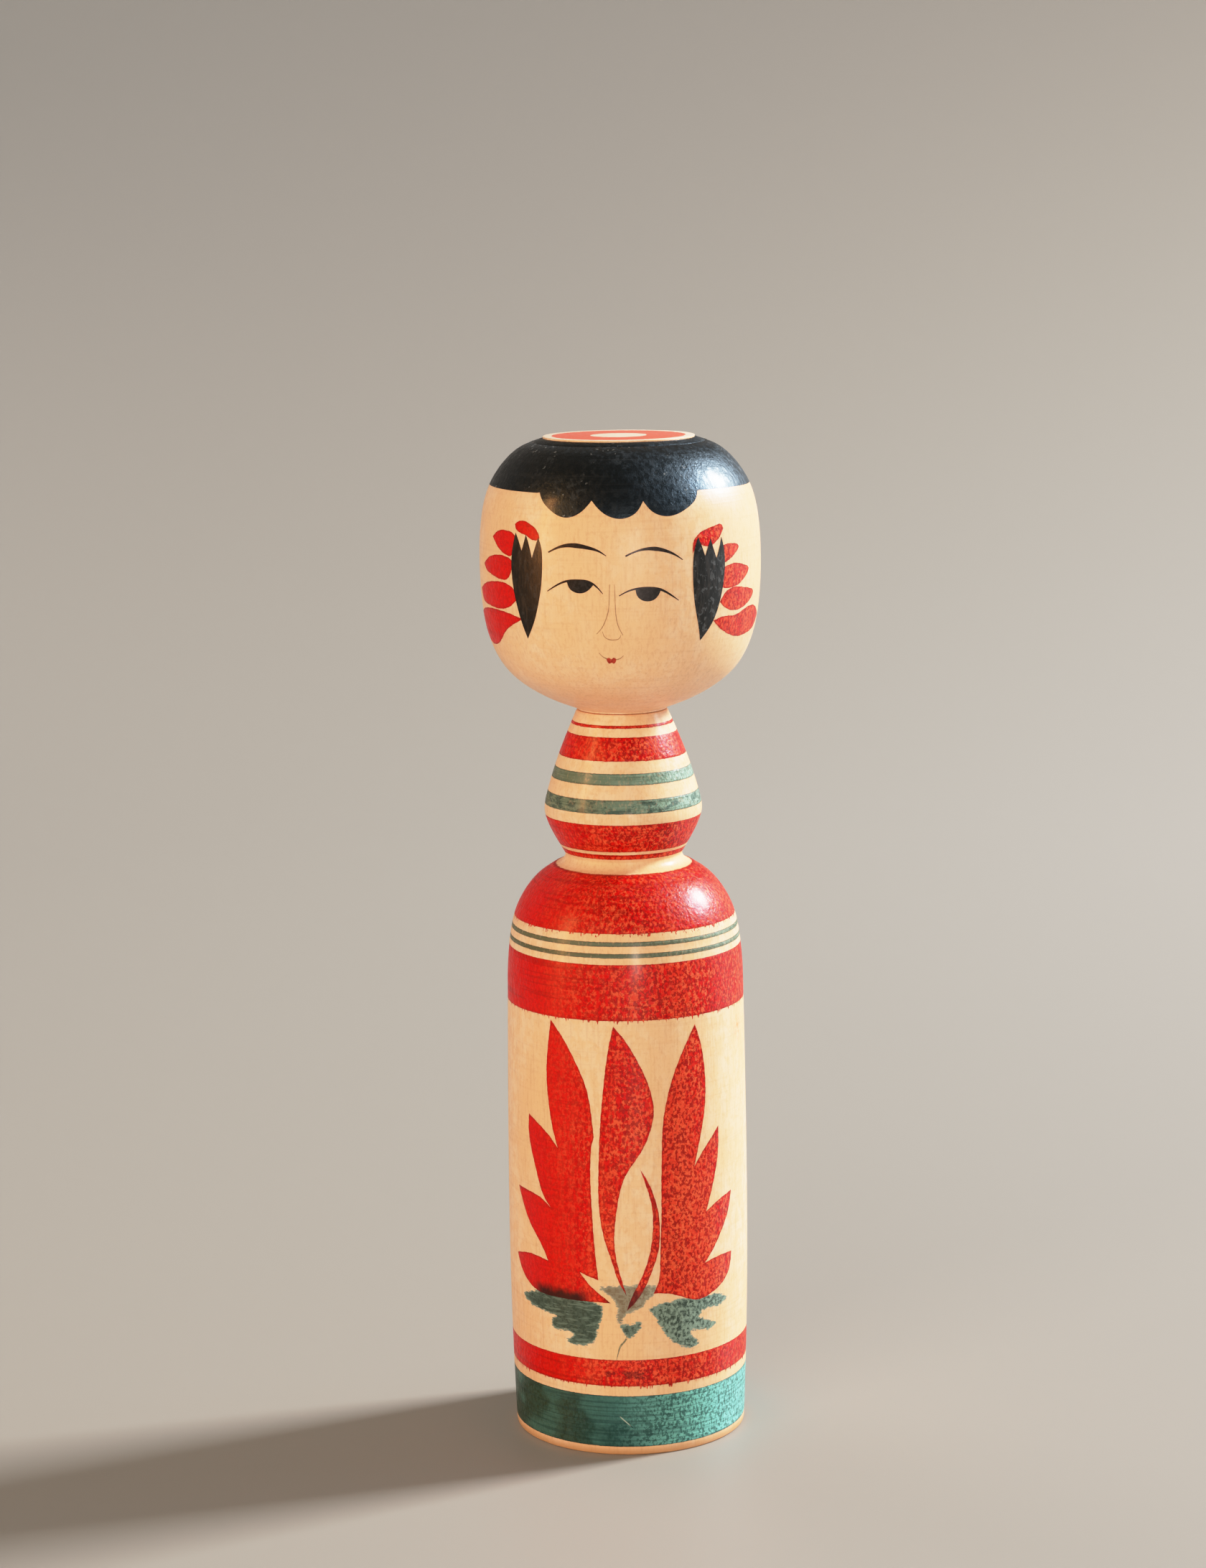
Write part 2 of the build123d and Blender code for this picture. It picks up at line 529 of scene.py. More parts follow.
def bare_wood(s):
    """Pale close-grained wood: tone patches, growth figure, clouds, fibres and short flecks."""
    patches = s.noise((0.05, 0.05, 0.025), 3, 0.55, 3.1)
    figure = s.noise((0.30, 0.30, 0.012), 3, 0.6, 11.7, 0.6)
    cloud = s.noise((0.42, 0.42, 0.36), 3, 0.6, 2.1)
    fibres = s.noise((1.7, 1.7, 0.13), 3, 0.65, 5.3)
    flecks = s.noise((1.2, 1.2, 0.9), 2, 0.6, 7.9)
    turning = s.noise((0.03, 0.03, 1.1), 2, 0.6, 14.2)
    colour = s.mix(s.step(patches, 0.36, 0.64), WOOD_PALE, WOOD_WARM)
    colour = s.mix(s.step(figure, 0.45, 0.65, 0.0, 0.35), colour, WOOD_WARM)
    colour = s.mix(s.step(cloud, 0.42, 0.58, 0.0, 0.7), colour, WOOD_WARM)
    colour = s.mix(s.step(fibres, 0.48, 0.68, 0.0, 0.2), colour, WOOD_DARK)
    colour = s.mix(s.step(turning, 0.52, 0.7, 0.0, 0.12), colour, WOOD_DARK)
    return s.mix(s.step(flecks, 0.54, 0.66, 0.0, 0.16), colour, WOOD_DARK)


def pooled(s, colour, deep, depth, strength=0.6, width=0.45):
    """Dye that dried darker along its edge."""
    return s.mix(s.step(depth, 0.08, width, strength, 0.0), colour, deep)


def red_dye(s, depth, turned=0.25):
    """Red on wood: winding mottle, pores along the grain, turning streaks, thinner in patches; the thin
    patches and the pores are painted stronger towards the lit +X side, as painted light.
    """
    mottle = s.noise((1.05, 1.05, 0.9), 2, 0.6, 2.2)
    pores = s.noise((1.55, 1.55, 1.15), 2, 0.6, 9.4)
    turning = s.noise((0.04, 0.04, 1.4), 3, 0.6, 4.6)
    fibres = s.noise((0.9, 0.9, 0.05), 3, 0.6, 12.1)
    columns = s.noise((0.13, 0.13, 0.012), 2, 0.5, 30.2)
    patches = s.noise((0.08, 0.08, 0.05), 2, 0.5, 6.8)
    # Painted light: the thin, paler patches are real, but this mask fades them out towards -X, so the
    # red is painted paler on the lit +X side.
    worn = s.product(s.step(patches, 0.40, 0.58, 0.6, 1.0), s.step(s.x, -24, 5, 0.03, 1.0))
    # Painted light: the dark pores show more strongly towards the lit +X side.
    pores_stronger_on_lit_side = s.step(s.x, -24, 5, 0.35, 1.0)
    colour = s.mix(s.product(s.step(columns, 0.50, 0.64, 0.0, 0.5), worn), RED_DYE, RED_THIN)
    colour = s.mix(s.product(s.step(fibres, 0.5, 0.6, 0.0, 0.5), worn), colour, RED_THIN)
    colour = s.mix(s.product(s.step(mottle, 0.5, 0.56), worn), colour, RED_THIN)
    colour = s.mix(s.product(s.step(pores, 0.48, 0.55, 0.0, 0.85), pores_stronger_on_lit_side), colour, RED_DEEP)
    colour = s.mix(s.step(turning, 0.52, 0.64, 0.0, turned), colour, RED_DEEP)
    return pooled(s, colour, RED_DEEP, depth)


def green_dye(s, depth, deep, dye, thin, painted_warm_light):
    """Green on wood: darker streaks round the lathe, a painted pale sheen and brighter specks towards
    the lit +X side, and painted warm light towards -X.
    """
    specks = s.noise((1.5, 1.5, 1.1), 2, 0.6, 1.4)
    turning = s.noise((0.04, 0.04, 1.7), 3, 0.65, 8.2)
    patches = s.noise((0.10, 0.10, 0.12), 2, 0.5, 3.7)
    # Painted light: this mask grows towards the lit +X side. It washes the dye paler there as a painted
    # sheen, and it brings out the pale specks there, which are real but painted stronger on the lit
    # side.
    rubbed = s.step(s.x, -6, 22, 0.04, 1.0)
    # Painted warm light: towards -X the dye turns a warmer, yellower green that stands in for warm light
    # falling on that side.
    colour = s.mix(s.step(s.x, -24, 0, 0.7, 0.0), dye, painted_warm_light)
    colour = s.mix(s.math("MULTIPLY", rubbed, 0.3), colour, thin)
    colour = s.mix(s.product(s.step(specks, 0.42, 0.54), rubbed), colour, thin)
    colour = s.mix(s.step(patches, 0.45, 0.62, 0.0, 0.12), colour, thin)
    colour = s.mix(s.step(turning, 0.48, 0.62, 0.0, 0.5), colour, deep)
    return pooled(s, colour, deep, depth, 0.7, 0.35)


def turned_bump(s, dyed=0.0):
    """Fine turning rings, raised fibres, and the rougher skin of the dye where dyed is 1."""
    rings = s.noise((0.02, 0.02, 1.9), 3, 0.6, 6.1)
    fibres = s.noise((1.8, 1.8, 0.16), 3, 0.6, 2.7)
    grain = s.noise((1.0, 1.0, 0.85), 2, 0.6, 16.3)
    skin = s.math("MULTIPLY", grain, s.math("ADD", s.math("MULTIPLY", dyed, 0.85), 0.15))
    s.bump((rings, 0.035), (fibres, 0.025), (skin, DYE_SKIN))


def waxed(s, low=0.33, high=0.5):
    """Roughness of hand-rubbed wax."""
    return s.step(s.noise((0.8, 0.8, 0.4), 4, 0.65, 12.3), 0.38, 0.62, low, high)


def body_material():
    """Bare wood, with the turned bands of red, olive and green, the body's few blemishes, and a darker
    foot that is partly painted shade.
    """
    s = Shader("painted_body_wood")
    degrees = s.degrees()
    edge = s.math("ADD", s.z, s.spread(s.noise((1.3, 1.3, 0.4), 2, 0.6, 21.0), 0.22))
    runs = s.step(s.noise((1.9, 1.9, 0.02), 2, 0.6, 1.9), 0.53, 0.68, 0.0, 0.8)
    below_shoulder = s.step(s.z, 128.5, 131, 1.0, 0.1)
    red_depth = s.depth(RED_BANDS, s.math("ADD", edge, s.product(runs, below_shoulder)), edge)
    olive_depth = s.depth(OLIVE_BANDS, edge, edge)
    green_depth = s.depth([GREEN_BAND], edge, edge)

    # Darker towards the foot: partly painted shade near the floor, partly real darkening of the foot's
    # wood.
    foot_shade_and_soil = s.step(s.z, 0.4, 2.6, 0.8, 0.0)
    colour = s.mix(foot_shade_and_soil, bare_wood(s), WOOD_DARK)
    # A pink smear on the trunk's right edge, high up
    pink = s.product(s.between(degrees, 65, 72, 3.5), s.between(s.z, 98.5, 104, 3.0))
    blotch = s.step(s.noise((0.9, 0.9, 0.9), 4, 0.75, 18.0), 0.40, 0.62, 0.0, 0.45)
    colour = s.mix(s.product(pink, blotch), colour, RED_THIN)

    streaky = s.step(s.noise((1.6, 1.6, 0.8), 3, 0.6, 5.5), 0.34, 0.46, 0.86, 1.0)
    olive = green_dye(s, olive_depth, OLIVE_DEEP, OLIVE_DYE, OLIVE_THIN, OLIVE_PAINTED_WARM_LIGHT)
    olive = s.mix(s.step(s.z, 126, 127, 0.5, 0.0), olive, OLIVE_BROWN)
    smears = s.step(s.noise((0.30, 0.30, 0.7), 3, 0.65, 33.0), 0.47, 0.56, 0.0, 0.6)
    olive = s.mix(s.product(smears, s.between(s.z, 154.9, 158.2, 0.3)), olive, GREEN_DEEP)
    colour = s.mix(s.product(s.step(olive_depth, -0.08, 0.1), streaky), colour, olive)

    green = green_dye(s, green_depth, GREEN_DEEP, GREEN_DYE, GREEN_THIN, GREEN_PAINTED_WARM_LIGHT)
    # A slanting nick, scraped pale at its left end and dark at its right end
    off_nick = s.math("ADD", s.math("MULTIPLY", degrees, 0.453), s.math("SUBTRACT", s.z, 7.43))
    nick = s.product(s.between(off_nick, -0.16, 0.16, 0.1), s.between(degrees, -5, 1.2, 0.6))
    green = s.mix(nick, green, s.mix(s.step(degrees, -1.5, 0.5), GREEN_SCRAPED, GREEN_DEEP))
    colour = s.mix(s.step(green_depth, -0.06, 0.08), colour, green)

    red = red_dye(s, red_depth, 0.45)
    # A dark smudge in the lowest red band
    smudge = s.step(s.noise((0.55, 0.55, 0.9), 3, 0.6, 27.0), 0.46, 0.56)
    smudge = s.product(smudge, s.between(degrees, -12, 8, 2), s.between(s.z, 19.3, 21.3, 0.5))
    red = s.mix(s.math("MULTIPLY", smudge, 0.6), red, RED_BLACK)
    colour = s.mix(s.step(red_depth, -0.05, 0.08), colour, red)

    dyed = s.step(s.math("MAXIMUM", red_depth, s.math("MAXIMUM", green_depth, olive_depth)), -0.2, 0.5)
    turned_bump(s, dyed)
    bare_dullness = s.step(dyed, 0.0, 1.0, 0.14, 0.0)
    roughness = s.math("ADD", waxed(s), bare_dullness)
    return s.finish(colour, roughness, **RUBBED_WAX)


def head_material():
    """Bare wood, with a red ring on the disc of the crown, both painted paler on the top face as painted
    light and sheen from above.
    """
    s = Shader("painted_head_wood")
    on_top = s.step(s.z, DOLL_TOP - 0.12, DOLL_TOP - 0.04)
    place = s.math("ADD", s.radius(), s.spread(s.noise((0.7, 0.7, 0.7), 2, 0.5, 2.0), 0.7))
    depth = s.depth([DISC_RING], place, place)
    # Painted sheen: the red ring on the top face is mixed towards a pale pink, standing in for light and
    # sheen falling on it.
    rubbed = s.mix(0.7, red_dye(s, depth), RED_PAINTED_TOP_SHEEN)
    painted = s.product(s.step(depth, -0.08, 0.1), on_top)
    # Painted light: the wood of the top face is painted paler, as light falling on it from above.
    top_painted_light = s.mix(s.math("MULTIPLY", on_top, 0.7), bare_wood(s), WOOD_PAINTED_TOP_LIGHT)
    colour = s.mix(painted, top_painted_light, rubbed)
    turned_bump(s)
    return s.finish(colour, waxed(s, 0.36, 0.5), coat=0.15, coat_roughness=0.3, specular=0.2)


def petal_material():
    s = Shader("red_petal")
    turned_bump(s, 0.5)
    return s.finish(red_dye(s, s.rim()), waxed(s), **RUBBED_WAX)


def flower_material():
    """The red of the flower, stained dark where its foot crosses the wet green."""
    s = Shader("red_flower")
    degrees = s.degrees()
    height = s.math("ADD", s.z, s.spread(s.noise((0.5, 0.5, 0.3), 3, 0.6, 9.0), 3.0))
    left = s.product(s.between(degrees, -50, -20, 5), s.step(height, 39.2, 42.0, 1.0, 0.0))
    middle = s.product(s.between(degrees, -11, 9, 1.5), s.step(height, 40.5, 43.2, 0.8, 0.0))
    colour = s.mix(s.math("MAXIMUM", left, middle), red_dye(s, s.rim()), RED_BLACK)
    turned_bump(s, 0.7)
    return s.finish(colour, waxed(s), **RUBBED_WAX)


def leaf_material(name, strength):
    """Green brushed on nearly dry: it breaks up into short strokes along its edge."""
    s = Shader(name)
    dry = s.noise((0.75, 0.75, 2.2), 4, 0.7, 3.3)
    depth = s.math("ADD", s.rim(), s.spread(dry, 2.6))
    cover = s.step(depth, 0.1, 0.35, 0.0, strength)
    colour = s.mix(s.step(depth, 0.1, 0.9), LEAF_THIN, LEAF_DEEP)
    hatch = s.step(s.noise((0.25, 0.25, 1.6), 3, 0.65, 8.8), 0.5, 0.6, 0.0, 0.4)
    specks = s.step(s.noise((1.3, 1.3, 1.1), 3, 0.6, 1.8), 0.38, 0.60)
    # Painted light: the pale specks are real, but they are painted stronger towards the lit +X side.
    specks = s.product(specks, s.step(s.x, -8, 12, 0.15, 1.0))
    colour = s.mix(s.math("MAXIMUM", hatch, specks), colour, LEAF_THIN)
    turned_bump(s, 0.5)
    painted = s.mix(cover, bare_wood(s), colour)
    return s.finish(painted, waxed(s, 0.4, 0.55), coat=0.1, coat_roughness=0.3, specular=0.15)


def hair_material():
    """Thick black, rubbed to a gloss, with specks of dust and paler turning lines; its reflections are
    tinted blue as a painted cool reflection.
    """
    s = Shader("polished_black_hair")
    worn = s.noise((0.8, 0.8, 0.6), 3, 0.65, 4.9)
    rubs = s.noise((0.09, 0.09, 0.09), 2, 0.5, 7.2)
    dust = s.noise((0.95, 0.95, 0.95), 1, 0.4, 6.6)
    turning = s.noise((0.03, 0.03, 1.3), 3, 0.6, 3.8)
    rubbed = s.product(s.step(worn, 0.5, 0.62), s.step(rubs, 0.42, 0.6, 0.1, 1.0))
    colour = s.mix(rubbed, HAIR_BLACK, HAIR_RUBBED)
    colour = s.mix(s.step(turning, 0.55, 0.68, 0.0, 0.5), colour, HAIR_TURNED)
    dusty = s.product(s.step(dust, 0.69, 0.72, 0.0, 0.6), s.step(rubs, 0.5, 0.56))
    colour = s.mix(dusty, colour, HAIR_DUST)
    skin = s.noise((0.8, 0.8, 0.65), 3, 0.7, 15.0)
    rings = s.noise((0.02, 0.02, 1.6), 3, 0.6, 6.1)
    s.bump((skin, 0.15), (rings, 0.06))
    # Painted reflection: the gloss is tinted blue to stand in for cool light reflected in it.
    s.bsdf.inputs["Specular Tint"].default_value = HAIR_PAINTED_BLUE_REFLECTION
    roughness = s.step(worn, 0.42, 0.58, 0.36, 0.50)
    return s.finish(colour, roughness, coat=0.13, coat_roughness=0.16, specular=0.37)


def lock_material():
    """Thinner black, streaked by the brush, with a painted bluish sheen in blotches towards +X."""
    s = Shader("brushed_black_lock")
    brushed = s.noise((1.2, 1.2, 0.25), 3, 0.65, 2.4)
    sheen_blotches = s.noise((0.9, 0.9, 0.7), 2, 0.6, 8.3)
    skin = s.noise((1.0, 1.0, 0.8), 2, 0.5, 16.3)
    colour = s.mix(s.step(brushed, 0.48, 0.62, 0.0, 0.8), LOCK_BLACK, LOCK_BRUSHED)
    # Painted sheen: bluish grey blotches towards the lit +X side stand in for reflected light.
    painted_sheen = s.product(s.step(sheen_blotches, 0.55, 0.63), s.step(s.x, -5, 20, 0.1, 0.5))
    colour = s.mix(painted_sheen, colour, LOCK_PAINTED_SHEEN)
    s.bump((brushed, 0.05), (skin, 0.06))
    roughness = s.step(brushed, 0.4, 0.6, 0.34, 0.48)
    return s.finish(colour, roughness, coat=0.1, coat_roughness=0.25, specular=0.2)


def ink_material(name, dark, light):
    """Ink or paint laid on in one thin stroke, between two shades."""
    s = Shader(name)
    colour = s.mix(s.step(s.noise((1.4, 1.4, 1.4), 3, 0.6, 1.2), 0.42, 0.6), dark, light)
    roughness = s.step(s.noise((1.0, 1.0, 1.0), 2, 0.5, 3.2), 0.4, 0.6, 0.38, 0.5)
    return s.finish(colour, roughness, **THIN_WAX)

# ---- turned wood

wood_body = turned("doll_body", body_outline, body_material(), "body", BARE)
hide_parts("body")
wood_head = turned("doll_head", head_outline, head_material(), "head", BARE)
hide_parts("head")

# ---- hair

HAIRLINE = 231.6
BELOW_FRINGE = 220  # a height on the brow, under all of the hair
# Lower edge of the three scallops of the fringe, each from corner to corner
FRINGE = [
    [(-36.5, HAIRLINE), (-35.2, 230.5), (-30.3, 228.0), (-22.1, 226.2), (-15.1, 227.9), (-11.7, 230.1)],
    [(-11.7, 230.1), (-7.6, 227.7), (0, 226.0), (7, 227.5), (9.9, 229.9)],
    [(9.9, 229.9), (13.4, 227.5), (20, 226.3), (29, 227.9), (34.6, 230.4), (35.7, HAIRLINE)],
]


def hair_edge():
    """(degrees, height) of the hair's lower edge, once round."""
    scale = np.array([math.radians(1) * HEAD_OUT, 1.0])
    stretches = [smooth_curve(np.array(s) * scale, step=0.3)[:-1] / scale for s in FRINGE]
    front = np.vstack([*stretches, [FRINGE[-1][-1]]])
    back = [(a, HAIRLINE + 0.12 * math.sin(a / 19)) for a in np.arange(37, 360 - 37.5, 1.25)]
    return np.vstack([front, back])


def hair_cap():
    """The painted cap from the disc's edge down to the hairline, as a closed film."""
    edge = hair_edge()
    r, z = head_outline.T
    crown = head_outline[(z > HAIRLINE + 0.6) & (z < DOLL_TOP - 0.4) & (r > DISC - 0.1)]
    side = head_outline[(z > BELOW_FRINGE) & (z <= crown[0, 1])]
    fringe_rows = 14
    vertices = []
    for lift in (LIFT, -SINK):
        for degrees, low in edge:
            z = np.linspace(low, crown[0, 1], fringe_rows, endpoint=False)
            column = np.vstack([np.column_stack([np.interp(z, side[:, 1], side[:, 0]), z]), crown])
            direction = np.gradient(column, axis=0)
            direction /= np.linalg.norm(direction, axis=1)[:, None]
            r = column[:, 0] + direction[:, 1] * lift
            z = column[:, 1] - direction[:, 0] * lift
            t = math.radians(degrees)
            vertices.append(np.column_stack([r * math.sin(t), -r * math.cos(t), z]) * MM)
    rows = len(vertices[0])
    vertices = np.vstack(vertices)
    count = len(edge)
    inner = count * rows
    faces = []
    for k in range(count):
        here, after = k * rows, (k + 1) % count * rows
        for j in range(rows - 1):
            faces.append((here + j, after + j, after + j + 1, here + j + 1))
            low_here, low_after = inner + here + j, inner + after + j
            faces.append((low_here + 1, low_after + 1, low_after, low_here))
        faces.append((inner + here, inner + after, after, here))
        top_here, top_after = here + rows - 1, after + rows - 1
        faces.append((top_here, top_after, inner + top_after, inner + top_here))
    add_mesh("hair_cap", vertices, faces, hair_material(), "head")


hair_cap()

LOCKS = {
    "lock_left": [
        [(-46.7, 222.2), (-44.7, 220.3)],
        [(-43.0, 218.1), (-41.8, 220.1)],
        [(-40.9, 221.9), (-39.5, 220.2)],
        [(-37.5, 216.6), (-35.8, 219.4)],
        [
            (-34.5, 221.5), (-33.0, 219.2), (-32.5, 214.9), (-33.0, 211.0), (-35.0, 205.9),
            (-38.2, 201.3),
        ],
        [
            (-42.5, 197.6), (-44.5, 201.1), (-46.6, 205.5), (-48.3, 210.4), (-48.9, 214.8),
            (-48.2, 218.8),
        ],
    ],
    "lock_right": [
        [(32.8, 221.2), (34.2, 219.3)],
        [(35.9, 216.6), (37.4, 218.6)],
        [(39.0, 220.7), (40.1, 218.5)],
        [(41.8, 215.9), (43.5, 218.3)],
        [(44.9, 220.7), (46.0, 218.2), (46.4, 214.3), (45.5, 209.9), (43.4, 205.0), (40.1, 200.7)],
        [(35.0, 197.0), (33.4, 200.5), (31.1, 205.6), (30.1, 210.7), (30.1, 215.1), (31.2, 218.9)],
    ],
}
LOCK_INK = lock_material()
for name, stretches in LOCKS.items():
    film(name, outline_of(stretches, HEAD_OUT), FACE, LOCK_INK, "head", lift=LIFT + 0.03)

# ---- red petals beside the locks

HEAD_PETALS = {
    "petal_cap_left": [
        [
            (-47.5, 224.2), (-44.8, 225.0), (-40.7, 224.8), (-37.0, 223.8), (-34.6, 222.4),
            (-34.2, 221.1), (-35.9, 220.7), (-40.3, 221.6), (-44.3, 222.3), (-46.6, 223.0),
        ],
    ],
    "petal_cap_right": [
        [(30.1, 217.5), (30.5, 220.0), (32.4, 221.5), (36.3, 222.7), (41.4, 223.4), (45.8, 223.4)],
        [(46.4, 222.6), (44.3, 221.0), (40.8, 219.4), (35.8, 219.0), (32.4, 219.6), (30.9, 218.4)],
    ],
    "petal_left_1": [
        [(-63.2, 220.7), (-58.7, 222.2), (-52.6, 222.5), (-47.8, 221.8), (-46.5, 221.0)],
        [(-48.1, 218.2), (-49.2, 216.8), (-52.8, 216.9), (-58.1, 218.3)],
    ],
    "petal_left_2": [
        [(-72.5, 213.9), (-66.9, 215.6), (-59.0, 216.6), (-52.0, 216.4), (-48.6, 215.4)],
        [(-48.9, 213.7), (-50.9, 211.6), (-57.4, 211.0), (-64.7, 211.8), (-70.0, 212.7)],
    ],
    "petal_left_3": [
        [(-79.8, 207.6), (-70.9, 209.4), (-60.5, 210.3), (-51.6, 210.0), (-47.2, 208.4)],
        [(-46.4, 206.6), (-50.4, 205.0), (-60.2, 203.9), (-69.9, 204.3), (-78.2, 205.7)],
    ],
    "petal_left_4": [
        [(-86.0, 201.6), (-75.9, 203.1), (-61.3, 203.6), (-50.6, 203.0)],
        [
            (-44.0, 202.1), (-50.6, 200.5), (-56.8, 198.6), (-63.7, 195.9), (-72.7, 194.6),
            (-82.0, 195.6), (-86.5, 198.5),
        ],
    ],
    "petal_right_1": [
        [(45.3, 218.7), (50.8, 219.0), (55.8, 218.0)],
        [(53.5, 216.7), (49.4, 215.3), (45.6, 214.8)],
    ],
    "petal_right_2": [
        [(45.6, 213.6), (52.5, 214.3), (58.7, 213.7), (63.8, 212.4)],
        [(60.8, 210.7), (55.2, 209.1), (50.7, 208.7), (45.4, 209.0)],
    ],
    "petal_right_3": [
        [(44.0, 205.6), (46.7, 207.6), (51.9, 208.7), (59.1, 208.3), (69.4, 206.4)],
        [(65.4, 204.6), (59.0, 203.4), (52.7, 203.2), (47.1, 204.2)],
    ],
    "petal_right_4": [
        [(41.0, 201.4), (46.8, 202.1), (53.9, 202.0), (62.3, 203.1), (72.0, 203.2)],
        [(82.5, 200.3), (77.4, 198.1), (67.8, 196.9), (58.4, 196.7), (49.5, 198.1), (43.7, 200.0)],
    ],
}
RED_PETAL = petal_material()
for k, (name, stretches) in enumerate(HEAD_PETALS.items()):
    film(name, outline_of(stretches, HEAD_OUT, rough=0.05, seed=k), FACE, RED_PETAL, "head")

# ---- face

BROWN_INK = ink_material("brow_ink", (0.007, 0.005, 0.004), (0.022, 0.013, 0.009))
BLACK_INK = ink_material("iris_ink", (0.004, 0.004, 0.004), (0.016, 0.015, 0.015))
FAINT_INK = ink_material("nose_ink", (0.34, 0.20, 0.10), (0.46, 0.28, 0.14))
LIP_RED = ink_material("lip_red", (0.30, 0.02, 0.01), (0.5, 0.06, 0.03))

# name: spine, widths in millimetres from end to end, ink
STROKES = {
    "brow_left": (
        [
            (-29.6, 218.2), (-24.7, 219.5), (-20.6, 219.95), (-16.6, 219.85), (-12.3, 219.4),
            (-8.5, 218.7), (-5.5, 217.6),
        ],
        [0.34, 0.5, 0.85, 1.15, 0.85, 0.5, 0.15],
        BROWN_INK,
    ),
    "brow_right": (
        [
            (2.1, 217.5), (5.1, 218.3), (8.9, 218.95), (13.6, 219.05), (18.1, 218.5), (22.1, 217.5),
            (25.5, 216.2),
        ],
        [0.4, 0.38, 0.62, 1.0, 0.75, 0.45, 0.15],
        BROWN_INK,
    ),
    "lid_left": (
        [
            (-30.3, 209.2), (-26.0, 210.7), (-21.8, 211.7), (-16.3, 211.95), (-12.4, 211.65),
            (-9.6, 210.6), (-7.0, 208.9),
        ],
        [0.2, 0.38, 0.48, 0.48, 0.5, 0.4, 0.15],
        BROWN_INK,
    ),
    "lid_right": (
        [
            (-0.6, 208.4), (3.1, 209.5), (6.4, 210.0), (10.6, 210.15), (15.5, 209.75), (19.4, 208.6),
            (23.7, 206.9),
        ],
        [0.2, 0.36, 0.48, 0.48, 0.56, 0.42, 0.15],
        BROWN_INK,
    ),
    "nose_left": (
        [(-4.2, 211.1), (-4.5, 208.1), (-5.0, 204.8), (-6.1, 202.8), (-7.8, 200.9), (-10.0, 199.5)],
        [0.1, 0.15, 0.17, 0.2, 0.22, 0.14],
        FAINT_INK,
    ),
    "nose_right": (
        [(-2.4, 211.1), (-2.2, 208.1), (-1.9, 203.7), (-0.9, 201.1), (0.8, 199.2)],
        [0.1, 0.15, 0.18, 0.2, 0.14],
        FAINT_INK,
    ),
    "nose_base": (
        [(-7.5, 200.1), (-6.8, 198.9), (-4.9, 198.2), (-2.9, 198.1), (-0.9, 198.4), (0.0, 199.3)],
        [0.1, 0.18, 0.2, 0.2, 0.18, 0.1],
        FAINT_INK,
    ),
    "mouth_line": (
        [(-9.5, 195.0), (-8.0, 194.1), (-5.7, 193.5), (-3.2, 193.35), (-0.6, 193.6), (0.9, 194.3)],
        [0.1, 0.2, 0.3, 0.3, 0.2, 0.1],
        FAINT_INK,
    ),
}
for name, (spine, widths, material) in STROKES.items():
    film(name, stroke(spine, widths, HEAD_OUT, 0.2), FACE, material, "head", grid=9)

IRISES = {
    "iris_left": [
        [(-21.6, 211.65), (-20.3, 209.9), (-18.4, 209.2), (-15.4, 209.0), (-13.0, 209.6)],
        [(-10.5, 211.1), (-12.4, 211.6), (-16.3, 211.9)],
    ],
    "iris_right": [
        [(5.9, 209.9), (6.6, 208.3), (8.2, 207.4), (10.6, 207.0), (13.5, 207.4), (15.3, 208.5)],
        [(16.1, 209.6), (15.5, 209.7), (10.6, 210.1)],
    ],
}
for name, stretches in IRISES.items():
    outline = outline_of(stretches, HEAD_OUT, 0.2)
    film(name, outline, FACE, BLACK_INK, "head", lift=LIFT + 0.01)
LIP = [
    [(-6.4, 193.5), (-5.4, 193.8)],
    [(-4.3, 193.35), (-3.3, 193.8)],
    [(-2.2, 193.5), (-2.5, 192.8), (-3.4, 192.4), (-4.2, 192.6), (-5.1, 192.4), (-6.0, 192.8)],
]
film("lip", outline_of(LIP, HEAD_OUT, 0.15), FACE, LIP_RED, "head", lift=LIFT + 0.02)

# ---- flower and leaves on the trunk

